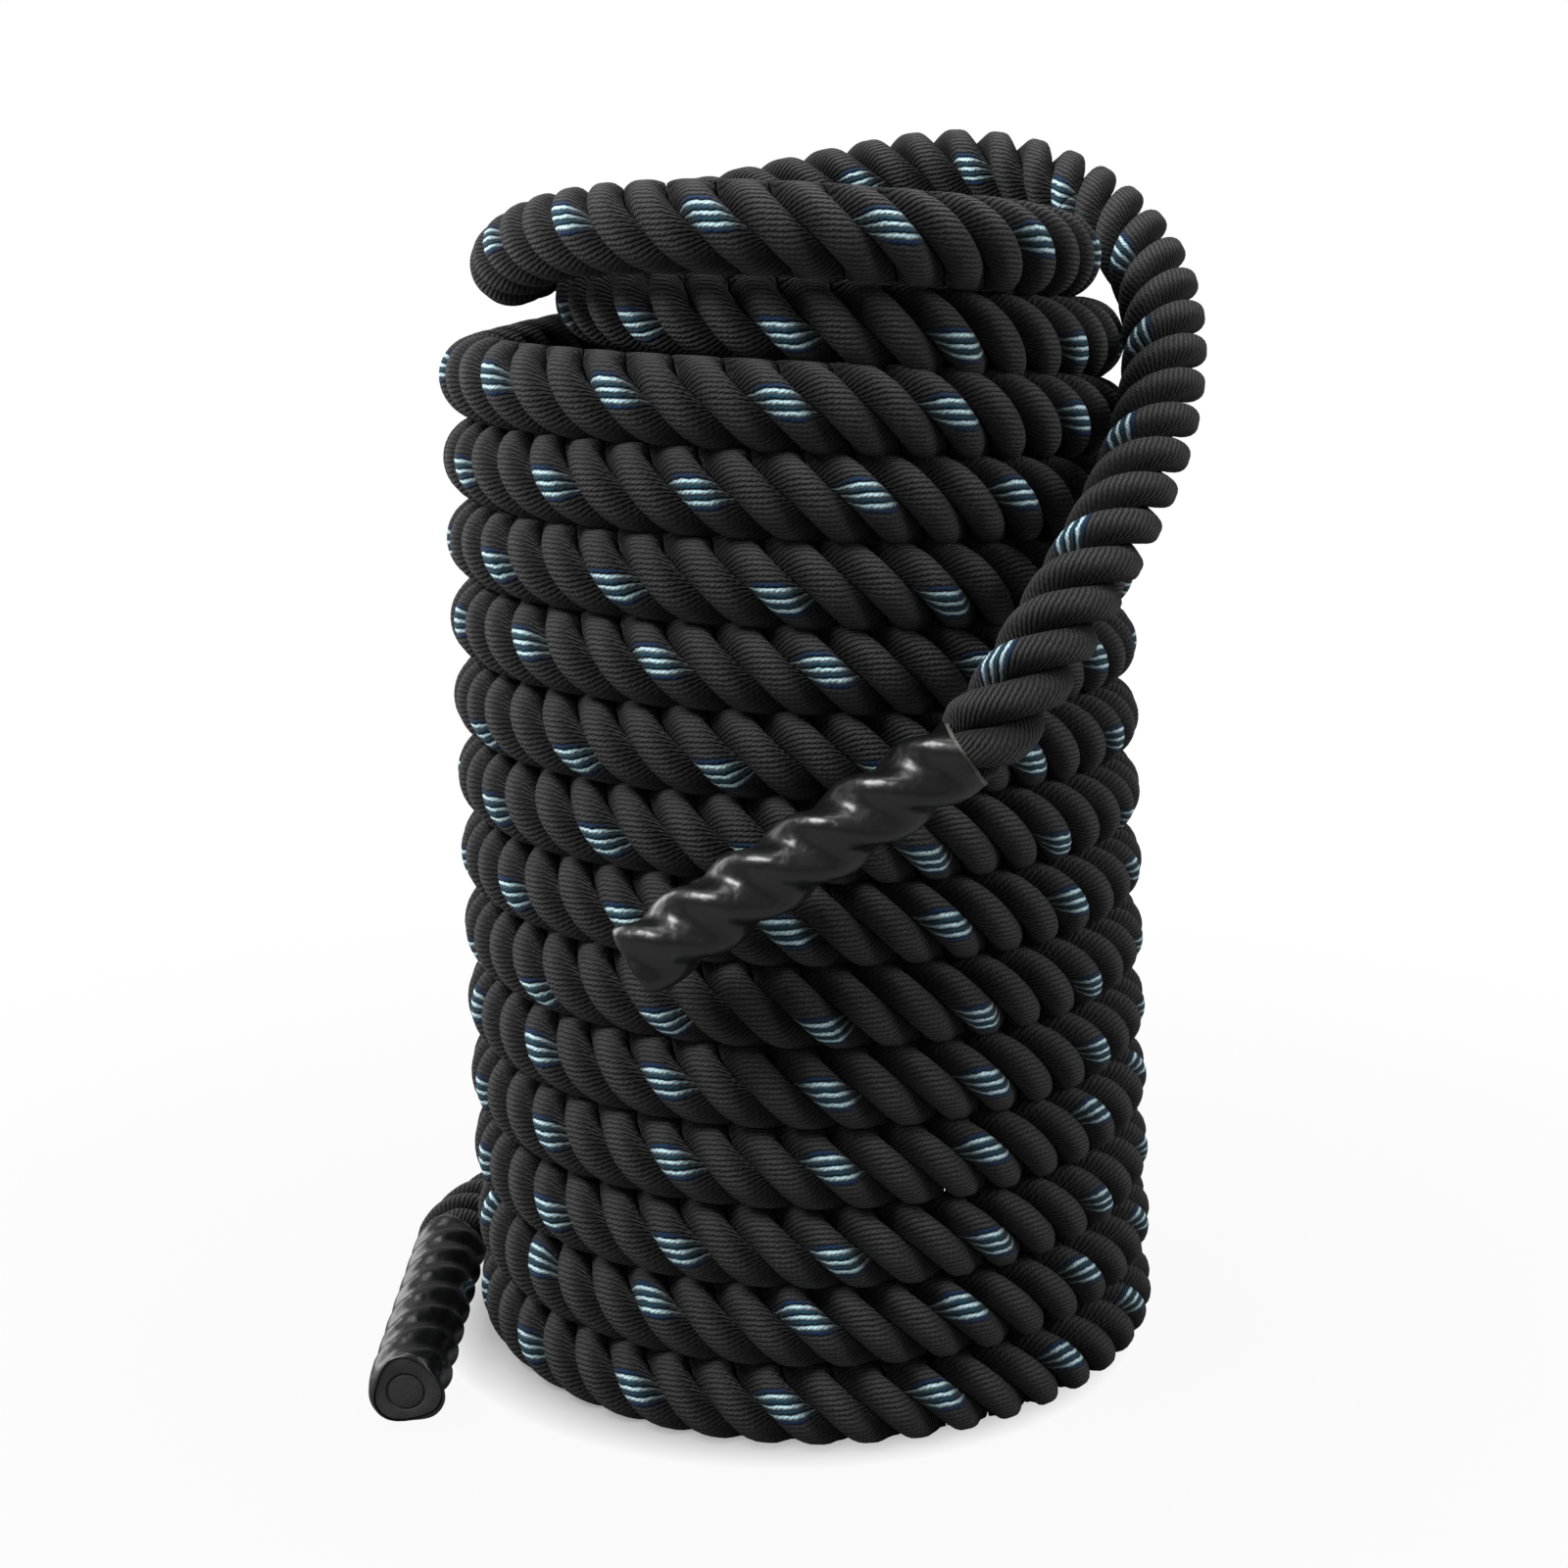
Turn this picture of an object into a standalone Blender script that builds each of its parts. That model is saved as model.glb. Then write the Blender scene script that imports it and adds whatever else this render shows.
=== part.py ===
"""A three-strand training rope, 38 mm thick, wound into a standing coil.

Each end of the rope is a grip: the three strands are whipped, closed with a plug and
covered with a shrink sleeve. The rope itself is plain here, a ring for the coil and
tubes for the loose stretches. The rope's route runs from the upper grip's end, over the
loose top turns and down the coil, to the lower grip's end. +Z is up and -Y is the front.
"""

import math

import bmesh
import bpy
import numpy as np
from mathutils import Matrix, Vector

# Rope and coil
ROPE_RADIUS = 0.019
TURN_PITCH = 0.039  # from one turn of the coil to the next
TURNS = 13
COIL_RADIUS_LOW = 0.1563  # to the middle of the rope, in the lowest turn
COIL_RADIUS_HIGH = 0.1480  # the same, in the highest turn
COIL_FOOT_X = 0.0168  # the lowest turn's centre, from the route's own axis
COIL_LEAN = -0.0348  # sideways shift for each metre of height
FRONT_DROP = 0.55  # share of a pitch that the highest turn falls along its front half
FRONT_DROP_FADE = 1.4  # how fast that share fades towards the lowest turns
STEPS_PER_TURN = 24
LAST_ANGLE = 135  # where the lowest turn ends and the lower tail begins, in degrees
ROPE_AXIS = (-0.0005, 0.0019, 0.0)  # puts the origin under the middle of the whole part

# Gaps and plain tubes
GAP = 0.0003
HINGE_GAP = 0.0006  # between the tubes on the two sides of a swing
TUBE_RADIUS = ROPE_RADIUS - GAP  # turns that touch in the real rope stay just apart
MOUTH_GAP = 0.0040  # between a grip's glue bead and the rope, which bends there
TUBE_STEP = 0.040
TIGHT_STEP = 0.018  # where the rope bends sharply into the lower grip
END_STEP = 0.002
LINE_STEP = 0.001

# Where the rope is divided, measured along it
UPPER_HINGE_AT = 0.4480  # from the upper end, below the shoulder of the raised loop
LOOSE_END_AT = 2.455  # from the upper end, where the loose turns sink into the coil
BIGHT_START_AT = 0.480  # from the lower end, where the lowest turn leaves the coil
LOWER_HINGE_AT = 0.245  # from the lower end

# Grips, along their own axis from the sleeve's mouth
GRIP_LENGTH = 0.170
SLEEVE_RADIUS = 0.0185
SLEEVE_WALL = 0.0013
SLEEVE_EDGE = 0.0040  # rounding of the sleeve's closed end
LIP_RADIUS = 0.0112  # the hole that the shrunk end leaves
PLUG_BOSS_RADIUS = 0.0108
PLUG_FLANGE_RADIUS = 0.0168
PLUG_FLANGE = 0.0030
PLUG_RECESS = 0.0006
WHIPPING_RADIUS = 0.0167
WHIPPING_WALL = 0.0010
WHIPPING_LENGTH = 0.022
BEAD_RADIUS = 0.0188
BEAD_HOLE_RADIUS = 0.0164
BEAD_LENGTH = 0.0017
STRAND_RADIUS = 0.0060
STRAND_HELIX_RADIUS = 0.0092
STRAND_LAY = 0.076  # length of one full twist inside the grip
STRAND_MARGIN = 0.0048  # keeps a strand's slanting end off what is beyond it
STRAND_STEPS = 28

# The loose stretches of the route, from the rope's axis
UPPER_TAIL = [
    (-0.0655, -0.1935, 0.2450),
    (0.0055, -0.1935, 0.2918),
    (0.0660, -0.1935, 0.3316),
    (0.0790, -0.1928, 0.3404),
    (0.1085, -0.1770, 0.3755),
    (0.1400, -0.1410, 0.4190),
    (0.1655, -0.0940, 0.4590),
    (0.1790, -0.0465, 0.4970),
    (0.1790, 0.0020, 0.5330),
]
RAISED_LOOP = [
    (0.1610, 0.0500, 0.5625),
    (0.1320, 0.0900, 0.5800),
    (0.0900, 0.1200, 0.5870),
    (0.0418, 0.1360, 0.5810),
    (-0.0150, 0.1350, 0.5690),
    (-0.0700, 0.1130, 0.5560),
    (-0.1080, 0.0740, 0.5465),
    (-0.1280, 0.0320, 0.5410),
]
FIRST_LOOSE_TURN = [
    (-0.1310, -0.0120, 0.5400),
    (-0.1170, -0.0580, 0.5485),
    (-0.0850, -0.1080, 0.5560),
    (-0.0420, -0.1420, 0.5580),
    (0.0100, -0.1540, 0.5565),
    (0.0600, -0.1430, 0.5530),
    (0.1000, -0.1110, 0.5495),
    (0.1240, -0.0640, 0.5455),
    (0.1310, -0.0150, 0.5430),
    (0.1240, 0.0320, 0.5420),
    (0.0980, 0.0710, 0.5405),
    (0.0580, 0.0960, 0.5380),
    (0.0100, 0.1010, 0.5340),
    (-0.0380, 0.0850, 0.5300),
    (-0.0740, 0.0490, 0.5265),
]
SECOND_LOOSE_TURN = [
    (-0.0900, 0.0000, 0.5240),
    (-0.0820, -0.0520, 0.5225),
    (-0.0520, -0.1010, 0.5205),
    (-0.0080, -0.1290, 0.5180),
    (0.0450, -0.1330, 0.5140),
    (0.0950, -0.1080, 0.5095),
    (0.1300, -0.0610, 0.5060),
    (0.1450, -0.0100, 0.5040),
    (0.1400, 0.0450, 0.5035),
    (0.1120, 0.0900, 0.5030),
    (0.0700, 0.1200, 0.5025),
    (0.0200, 0.1330, 0.5015),
    (-0.0350, 0.1300, 0.4995),
    (-0.0850, 0.1080, 0.4965),
    (-0.1200, 0.0720, 0.4925),
    (-0.1400, 0.0320, 0.4885),
]
LOWER_TAIL = [
    (-0.1799, 0.0280, 0.0190),
    (-0.1799, 0.0200, 0.0190),
    (-0.1794, -0.0600, 0.0190),
    (-0.1789, -0.1460, 0.0190),
]


def clear_scene():
    for obj in list(bpy.data.objects):
        bpy.data.objects.remove(obj, do_unlink=True)


def new_collection(name):
    collection = bpy.data.collections.new(name)
    bpy.context.scene.collection.children.link(collection)
    return collection


def new_material(name, color, roughness, metallic=0.0):
    material = bpy.data.materials.new(name)
    material.use_nodes = True
    shader = material.node_tree.nodes["Principled BSDF"]
    shader.inputs["Base Color"].default_value = (*color, 1.0)
    shader.inputs["Roughness"].default_value = roughness
    shader.inputs["Metallic"].default_value = metallic
    return material


def place(obj, collection, material, parent=None):
    collection.objects.link(obj)
    if material:
        obj.data.materials.append(material)
    obj.parent = parent
    return obj


# The rope's route


def turn_drop(turn, angle):
    """How far a turn has fallen at an angle from -180 to 180 degrees, as a share of the pitch."""
    if turn == TURNS - 1:
        return 0.0
    front = FRONT_DROP * max(0.0, 1 - turn / (TURNS - 2)) ** FRONT_DROP_FADE
    if angle <= 0:
        return front * ((angle + 180) / 180) ** 2
    u = angle / 180
    first_slope = 2 * front / (1 - front)
    rise = (u**3 - 2 * u**2 + u) * first_slope + 3 * u**2 - 2 * u**3
    return front + (1 - front) * rise


def coil_point(turn, angle):
    """The middle of the rope in a turn, counted from the top. -90 degrees is the front."""
    level = TURNS - 1 - turn - turn_drop(turn, angle)
    radius = COIL_RADIUS_LOW + (COIL_RADIUS_HIGH - COIL_RADIUS_LOW) * level / (TURNS - 1)
    if turn == TURNS - 1 and angle > 0:
        # The lowest turn moves outwards as the turn above it comes down beside it.
        apart = 2 * ROPE_RADIUS + GAP
        above = TURN_PITCH * (1 - turn_drop(turn - 1, angle))
        radius += math.sqrt(max(0.0, apart**2 - above**2))
    height = TURN_PITCH * level
    middle = COIL_FOOT_X + COIL_LEAN * height
    a = math.radians(angle)
    x = middle + radius * math.cos(a)
    return (x, radius * math.sin(a), ROPE_RADIUS + height)


def coil_points():
    step = 360 / STEPS_PER_TURN
    count = int((360 * (TURNS - 1) + 180 + LAST_ANGLE) / step) + 1
    found = []
    for i in range(count):
        turn = min(i // STEPS_PER_TURN, TURNS - 1)
        found.append(coil_point(turn, i * step - 360 * turn - 180))
    return found


def spline_bends(knots, points):
    """Second derivatives of the natural cubic spline through the points."""
    n = len(knots)
    h = np.diff(knots)
    system = np.eye(n)
    right = np.zeros((n, 3))
    slopes = np.diff(points, axis=0) / h[:, None]
    for i in range(1, n - 1):
        system[i, i - 1 : i + 2] = h[i - 1], 2 * (h[i - 1] + h[i]), h[i]
        right[i] = 6 * (slopes[i] - slopes[i - 1])
    return np.linalg.solve(system, right)


def smooth_line(route):
    """Points close together along the smooth curve through the route, and their lengths along it."""
    points = np.array(route)
    knots = np.concatenate([[0], np.cumsum(np.linalg.norm(np.diff(points, axis=0), axis=1))])
    bends = spline_bends(knots, points)
    at = np.linspace(0, knots[-1], int(knots[-1] / LINE_STEP))
    i = np.clip(np.searchsorted(knots, at, side="right") - 1, 0, len(knots) - 2)
    h = (knots[i + 1] - knots[i])[:, None]
    a = (knots[i + 1] - at)[:, None] / h
    b = 1 - a
    curved = ((a**3 - a) * bends[i] + (b**3 - b) * bends[i + 1]) * h**2 / 6
    line = a * points[i] + b * points[i + 1] + curved
    along = np.concatenate([[0], np.cumsum(np.linalg.norm(np.diff(line, axis=0), axis=1))])
    return line, along


def point_at(rope, s):
    line, along = rope
    return np.array([np.interp(s, along, line[:, k]) for k in range(3)])


def stretch(rope, start, end, step=TUBE_STEP):
    """Points along the rope between two lengths, close together at the ends to square them off."""
    first, last = start + END_STEP, end - END_STEP
    count = max(2, math.ceil((last - first) / step) + 1)
    return [point_at(rope, s) for s in [start, *np.linspace(first, last, count), end]]


# Shapes


def tube(name, points, radius, rounds=4):
    """A round tube with closed ends along the points."""
    curve = bpy.data.curves.new(name, "CURVE")
    curve.dimensions = "3D"
    curve.bevel_depth = radius
    curve.bevel_resolution = rounds
    curve.use_fill_caps = True
    spline = curve.splines.new("POLY")
    spline.points.add(len(points) - 1)
    for spot, point in zip(spline.points, points):
        spot.co = (*point, 1)
    spline.use_smooth = True
    return bpy.data.objects.new(name, curve)


def turned(name, outline, sides):
    """A closed outline in (radius, height), top to bottom down its outer side, turned about Z."""
    mesh = bpy.data.meshes.new(name)
    edges = [(i, (i + 1) % len(outline)) for i in range(len(outline))]
    if outline[0][0] == 0 and outline[-1][0] == 0:
        edges.pop()
    mesh.from_pydata([(r, 0, z) for r, z in outline], edges, [])
    obj = bpy.data.objects.new(name, mesh)
    screw = obj.modifiers.new("turn", "SCREW")
    screw.steps = sides
    screw.render_steps = sides
    screw.use_merge_vertices = True
    screw.merge_threshold = 0.00001
    return obj


def corner(middle_r, middle_z, radius, start, end, steps=4):
    """Points on a quarter round of an outline, angles in degrees from +X."""
    found = []
    for i in range(steps + 1):
        a = math.radians(start + (end - start) * i / steps)
        found.append((middle_r + radius * math.cos(a), middle_z + radius * math.sin(a)))
    return found


def as_mesh(obj, collection):
    """The same shape as a plain mesh, its modifiers applied and its double points merged."""
    name = obj.name
    collection.objects.link(obj)
    bpy.context.view_layer.update()
    graph = bpy.context.evaluated_depsgraph_get()
    mesh = bpy.data.meshes.new_from_object(obj.evaluated_get(graph))
    bm = bmesh.new()
    bm.from_mesh(mesh)
    bmesh.ops.remove_doubles(bm, verts=bm.verts, dist=0.00001)
    bm.to_mesh(mesh)
    bm.free()
    bpy.data.objects.remove(obj, do_unlink=True)
    return bpy.data.objects.new(name, mesh)


def as_cutter(obj, cutters):
    cutters.objects.link(obj)
    obj.hide_render = True
    obj.display_type = "WIRE"
    return obj


def cut(obj, cutter):
    boolean = obj.modifiers.new(cutter.name, "BOOLEAN")
    boolean.operation = "DIFFERENCE"
    boolean.solver = "EXACT"
    boolean.object = cutter


# The rope's pieces


def coil_ring(parts, cutters, material, frame, loose_points, bight_points):
    """The coil's outer shape: a leaning ring, its top following the highest turn."""
    top = TURN_PITCH * (TURNS - 1) + 2 * ROPE_RADIUS
    round_top = ROPE_RADIUS - 0.001
    round_foot = ROPE_RADIUS - 0.006
    outline = corner(COIL_RADIUS_HIGH + 0.001, top - round_top, round_top, 90, 0)
    outline += corner(COIL_RADIUS_LOW + 0.006, round_foot, round_foot, 0, -90)
    outline += corner(COIL_RADIUS_LOW - 0.006, round_foot, round_foot, -90, -180)
    outline += corner(COIL_RADIUS_HIGH - 0.001, top - round_top, round_top, 180, 90)
    ring = as_mesh(turned("rope_coil", outline, 72), cutters)
    lean = Matrix.Identity(4)
    lean[0][2] = COIL_LEAN
    ring.data.transform(Matrix.Translation((COIL_FOOT_X, 0, 0)) @ lean)
    place(ring, parts, material, frame)
    for cutter in (
        top_trim(cutters, frame),
        groove(cutters, frame, "loose_groove", loose_points[len(loose_points) // 2 :]),
        groove(cutters, frame, "bight_groove", bight_points[::-1]),
    ):
        cut(ring, cutter)
    return ring


def top_trim(cutters, frame):
    """A block whose underside slopes from the highest turn's start down to its right side."""
    left = np.array(coil_point(0, -180))
    right = np.array(coil_point(0, 0))
    slope = math.atan2(left[2] - right[2], right[0] - left[0])
    size = 0.5
    bpy.ops.mesh.primitive_cube_add(size=size)
    block = bpy.context.object
    for home in block.users_collection:
        home.objects.unlink(block)
    block.name = "top_trim"
    block.parent = frame
    middle = (left + right) / 2
    away = Vector((math.sin(slope), 0, math.cos(slope))) * (ROPE_RADIUS + size / 2)
    block.location = Vector(middle) + away
    block.rotation_euler = (0, slope, 0)
    return as_cutter(block, cutters)


def groove(cutters, frame, name, points):
    """A cutter a gap wider than the tube that lies in it, and a gap longer at its last point."""
    ahead = points[-1] - points[-2]
    last = points[-1] + ahead * GAP / np.linalg.norm(ahead)
    cutter = as_mesh(tube(name, points[:-1] + [last], TUBE_RADIUS + GAP), cutters)
    cutter.parent = frame
    return as_cutter(cutter, cutters)


def lower_points(rope, start, end):
    """Points along the rope between two lengths that are measured from its lower end."""
    length = rope[1][-1]
    return stretch(rope, length - start, length - end, TIGHT_STEP)


def rope_tube(parts, material, frame, name, points):
    return place(tube(name, points, TUBE_RADIUS), parts, material, frame)


# The grips


def grip_frame(name, mouth, end, rope_frame, parts):
    """An empty at the sleeve's mouth, with +Z towards the grip's free end."""
    frame = bpy.data.objects.new(name, None)
    parts.objects.link(frame)
    frame.parent = rope_frame
    frame.location = mouth
    frame.rotation_mode = "QUATERNION"
    frame.rotation_quaternion = Vector(end - mouth).to_track_quat("Z", "Y")
    return frame


def sleeve(name):
    """The shrink sleeve, drawn in over the rope's end so that only a round hole stays open."""
    inside = SLEEVE_RADIUS - SLEEVE_WALL
    outline = [(LIP_RADIUS, GRIP_LENGTH)]
    outline += corner(SLEEVE_RADIUS - SLEEVE_EDGE, GRIP_LENGTH - SLEEVE_EDGE, SLEEVE_EDGE, 90, 0)
    outline += [(SLEEVE_RADIUS, 0), (inside, 0)]
    outline += [(inside, GRIP_LENGTH - SLEEVE_WALL), (LIP_RADIUS, GRIP_LENGTH - SLEEVE_WALL)]
    return turned(name, outline, 32)


def plug_levels():
    """Heights of the plug's face, its shoulder and its inner side."""
    shoulder = GRIP_LENGTH - SLEEVE_WALL - GAP
    return GRIP_LENGTH - PLUG_RECESS, shoulder, shoulder - PLUG_FLANGE


def end_plug(name):
    face, shoulder, inner = plug_levels()
    outline = [
        (0, face),
        (PLUG_BOSS_RADIUS, face),
        (PLUG_BOSS_RADIUS, shoulder),
        (PLUG_FLANGE_RADIUS, shoulder),
        (PLUG_FLANGE_RADIUS, inner),
        (0, inner),
    ]
    return turned(name, outline, 32)


def washer(name, outer, hole, top, length):
    outline = [(hole, top), (outer, top), (outer, top - length), (hole, top - length)]
    return turned(name, outline, 32)


def whipping(name):
    """Tape wound round the strands where the rope was cut."""
    top = plug_levels()[2] - STRAND_MARGIN
    hole = WHIPPING_RADIUS - WHIPPING_WALL
    return washer(name, WHIPPING_RADIUS, hole, top, WHIPPING_LENGTH)


def glue_bead(name):
    """Glue pressed out at the sleeve's mouth."""
    return washer(name, BEAD_RADIUS, BEAD_HOLE_RADIUS, -GAP, BEAD_LENGTH)


def strand_end(name, index):
    """One of the three strands inside the grip, twisted right-handed about its axis."""
    start = STRAND_MARGIN
    end = plug_levels()[2] - STRAND_MARGIN
    points = []
    for i in range(STRAND_STEPS + 1):
        z = start + (end - start) * i / STRAND_STEPS
        a = 2 * math.pi * (z / STRAND_LAY + index / 3)
        points.append((STRAND_HELIX_RADIUS * math.cos(a), STRAND_HELIX_RADIUS * math.sin(a), z))
    return tube(name, points, STRAND_RADIUS, rounds=2)


def grip(end_name, mouth, end, rope_frame, parts, looks):
    frame = grip_frame(f"{end_name}_grip_frame", mouth, end, rope_frame, parts)
    place(sleeve(f"{end_name}_grip_sleeve"), parts, looks["sleeve"], frame)
    place(end_plug(f"{end_name}_end_plug"), parts, looks["plug"], frame)
    place(whipping(f"{end_name}_whipping"), parts, looks["tape"], frame)
    place(glue_bead(f"{end_name}_glue_bead"), parts, looks["glue"], frame)
    for i in range(3):
        place(strand_end(f"{end_name}_strand_end_{i + 1}", i), parts, looks["rope"], frame)


def main():
    clear_scene()
    parts = new_collection("training_rope")
    cutters = new_collection("cutters")
    looks = {
        "rope": new_material("rope_yarn", (0.030, 0.030, 0.032), 0.85),
        "sleeve": new_material("shrink_sleeve", (0.010, 0.010, 0.011), 0.22),
        "plug": new_material("plug_rubber", (0.055, 0.055, 0.058), 0.70),
        "tape": new_material("whipping_tape", (0.020, 0.020, 0.022), 0.55),
        "glue": new_material("sleeve_glue", (0.350, 0.340, 0.320), 0.45),
    }
    rope_frame = bpy.data.objects.new("rope_frame", None)
    rope_frame.location = ROPE_AXIS
    parts.objects.link(rope_frame)

    loose = UPPER_TAIL + RAISED_LOOP + FIRST_LOOSE_TURN + SECOND_LOOSE_TURN
    rope = smooth_line(loose + coil_points() + LOWER_TAIL)
    length = rope[1][-1]
    rope_from = GRIP_LENGTH + GAP + BEAD_LENGTH + MOUTH_GAP

    tubes = {
        "upper_tail": stretch(rope, rope_from, UPPER_HINGE_AT - HINGE_GAP / 2),
        "loose_turns": stretch(rope, UPPER_HINGE_AT + HINGE_GAP / 2, LOOSE_END_AT),
        "lower_bight": lower_points(rope, BIGHT_START_AT, LOWER_HINGE_AT + HINGE_GAP / 2),
        "lower_tail": lower_points(rope, LOWER_HINGE_AT - HINGE_GAP / 2, rope_from),
    }
    for name, points in tubes.items():
        rope_tube(parts, looks["rope"], rope_frame, name, points)
    laid_in = tubes["loose_turns"], tubes["lower_bight"]
    coil_ring(parts, cutters, looks["rope"], rope_frame, *laid_in)

    upper_end = point_at(rope, 0)
    lower_end = point_at(rope, length)
    upper_mouth = point_at(rope, GRIP_LENGTH)
    lower_mouth = point_at(rope, length - GRIP_LENGTH)
    grip("upper", upper_mouth, upper_end, rope_frame, parts, looks)
    grip("lower", lower_mouth, lower_end, rope_frame, parts, looks)
    for obj in parts.objects:
        if obj.type == "MESH":
            obj.data.shade_smooth()
    print(f"rope length {length:.3f} m")
    for name, s in (("upper", UPPER_HINGE_AT), ("lower", length - LOWER_HINGE_AT)):
        ahead = point_at(rope, s + LINE_STEP) - point_at(rope, s - LINE_STEP)
        print(name, "hinge", point_at(rope, s) + ROPE_AXIS, "tangent", ahead / np.linalg.norm(ahead))


main()
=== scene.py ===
import math

import bpy
import numpy as np
from bpy.props import FloatProperty, FloatVectorProperty, IntProperty, PointerProperty
from mathutils import Matrix, Vector


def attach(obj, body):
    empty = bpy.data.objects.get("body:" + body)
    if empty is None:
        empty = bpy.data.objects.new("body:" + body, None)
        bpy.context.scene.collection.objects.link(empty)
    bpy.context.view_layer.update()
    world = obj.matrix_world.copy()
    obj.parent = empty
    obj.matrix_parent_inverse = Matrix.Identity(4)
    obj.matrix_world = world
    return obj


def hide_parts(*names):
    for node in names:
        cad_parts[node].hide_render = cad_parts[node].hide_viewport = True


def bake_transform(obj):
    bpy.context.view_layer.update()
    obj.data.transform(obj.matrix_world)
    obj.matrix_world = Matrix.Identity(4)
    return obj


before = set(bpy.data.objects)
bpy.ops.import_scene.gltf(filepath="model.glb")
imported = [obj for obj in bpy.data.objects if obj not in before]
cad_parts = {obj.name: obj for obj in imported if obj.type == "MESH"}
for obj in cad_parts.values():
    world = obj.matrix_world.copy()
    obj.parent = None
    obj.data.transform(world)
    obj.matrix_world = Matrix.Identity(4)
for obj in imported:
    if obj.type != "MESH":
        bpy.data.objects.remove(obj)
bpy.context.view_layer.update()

bl_info = {
    "name": "Training Rope",
    "version": (1, 0, 0),
    "blender": (4, 5, 0),
    "location": "3D View > Sidebar > Rope",
    "description": "Lays up a coiled three-strand training rope with a sleeved grip on each end",
    "category": "Add Mesh",
}

# The rope's route, measured from the coil's own axis, as the CAD model has it
ROPE_AXIS = np.array((-0.0005, 0.0019, 0.0))
ROPE_RADIUS = 0.019
TURN_PITCH = 0.039
TURNS = 13
COIL_RADIUS_LOW = 0.1563
COIL_RADIUS_HIGH = 0.1480
COIL_FOOT_X = 0.0168
COIL_LEAN = -0.0348
FRONT_DROP = 0.55
FRONT_DROP_FADE = 1.4
STEPS_PER_TURN = 24
LAST_ANGLE = 135
GAP = 0.0003
LINE_STEP = 0.002
GRIP_LENGTH = 0.170
# Lengths along the rope from its upper end, and from PRESSED_FROM on the turns press together
UPPER_HINGE_AT = 0.4480
UPPER_TAIL_TO = UPPER_HINGE_AT + 0.10
PRESSED_FROM = 1.0
LOOSE_TURNS_TO = 2.455
# Lengths along the rope from its lower end
LOWER_HINGE_AT = 0.245
LOWER_TAIL_TO = 0.405
# How far inside each end of the rope the strands stop, behind the plug
STRANDS_FROM = 0.0055
# Half the span about each hinge length whose two end points are taken from the route
UPPER_BEND = 0.07
LOWER_BEND = 0.06
UPPER_TAIL = [
    (-0.0655, -0.1935, 0.2450),
    (0.0055, -0.1935, 0.2918),
    (0.0660, -0.1935, 0.3316),
    (0.0790, -0.1928, 0.3404),
    (0.1085, -0.1770, 0.3755),
    (0.1400, -0.1410, 0.4190),
    (0.1655, -0.0940, 0.4590),
    (0.1790, -0.0465, 0.4970),
    (0.1790, 0.0020, 0.5330),
]
RAISED_LOOP = [
    (0.1610, 0.0500, 0.5625),
    (0.1320, 0.0900, 0.5800),
    (0.0900, 0.1200, 0.5870),
    (0.0418, 0.1360, 0.5810),
    (-0.0150, 0.1350, 0.5690),
    (-0.0700, 0.1130, 0.5560),
    (-0.1080, 0.0740, 0.5465),
    (-0.1280, 0.0320, 0.5410),
]
FIRST_LOOSE_TURN = [
    (-0.1310, -0.0120, 0.5400),
    (-0.1170, -0.0580, 0.5485),
    (-0.0850, -0.1080, 0.5560),
    (-0.0420, -0.1420, 0.5580),
    (0.0100, -0.1540, 0.5565),
    (0.0600, -0.1430, 0.5530),
    (0.1000, -0.1110, 0.5495),
    (0.1240, -0.0640, 0.5455),
    (0.1310, -0.0150, 0.5430),
    (0.1240, 0.0320, 0.5420),
    (0.0980, 0.0710, 0.5405),
    (0.0580, 0.0960, 0.5380),
    (0.0100, 0.1010, 0.5340),
    (-0.0380, 0.0850, 0.5300),
    (-0.0740, 0.0490, 0.5265),
]
SECOND_LOOSE_TURN = [
    (-0.0900, 0.0000, 0.5240),
    (-0.0820, -0.0520, 0.5225),
    (-0.0520, -0.1010, 0.5205),
    (-0.0080, -0.1290, 0.5180),
    (0.0450, -0.1330, 0.5140),
    (0.0950, -0.1080, 0.5095),
    (0.1300, -0.0610, 0.5060),
    (0.1450, -0.0100, 0.5040),
    (0.1400, 0.0450, 0.5035),
    (0.1120, 0.0900, 0.5030),
    (0.0700, 0.1200, 0.5025),
    (0.0200, 0.1330, 0.5015),
    (-0.0350, 0.1300, 0.4995),
    (-0.0850, 0.1080, 0.4965),
    (-0.1200, 0.0720, 0.4925),
    (-0.1400, 0.0320, 0.4885),
]
LOWER_TAIL = [
    (-0.1799, 0.0280, 0.0190),
    (-0.1799, 0.0200, 0.0190),
    (-0.1794, -0.0600, 0.0190),
    (-0.1789, -0.1460, 0.0190),
]

# A laid rope's twist varies along it: the lengths and starts of its slow waves
LAY_SWAY_LENGTH = 9.954
LAY_SWAY_START = 2.767
YARN_SWAY_LENGTH = 1.5164
YARN_SWAY_START = 3.664
# How the turns press on each other: how much of a groove fills, and how far past the crowns
PRESS_SHARE = 0.95
PRESS_OVER = 0.0004
# How much the film narrows the rope inside it
SQUEEZE = 0.80
# The film's end, and the hole that it leaves, as a share of the sleeve's radius
FILM_TOP = GRIP_LENGTH - 0.0030
UPPER_OPENING = 0.62
LOWER_OPENING = 0.90
# The strands' meshes: the sides round a strand, and the ring step outside the coil's stack
COIL_SIDES = 22
LOOSE_SIDES = 26
LOOSE_STEP = 0.0022


# Settings


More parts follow.
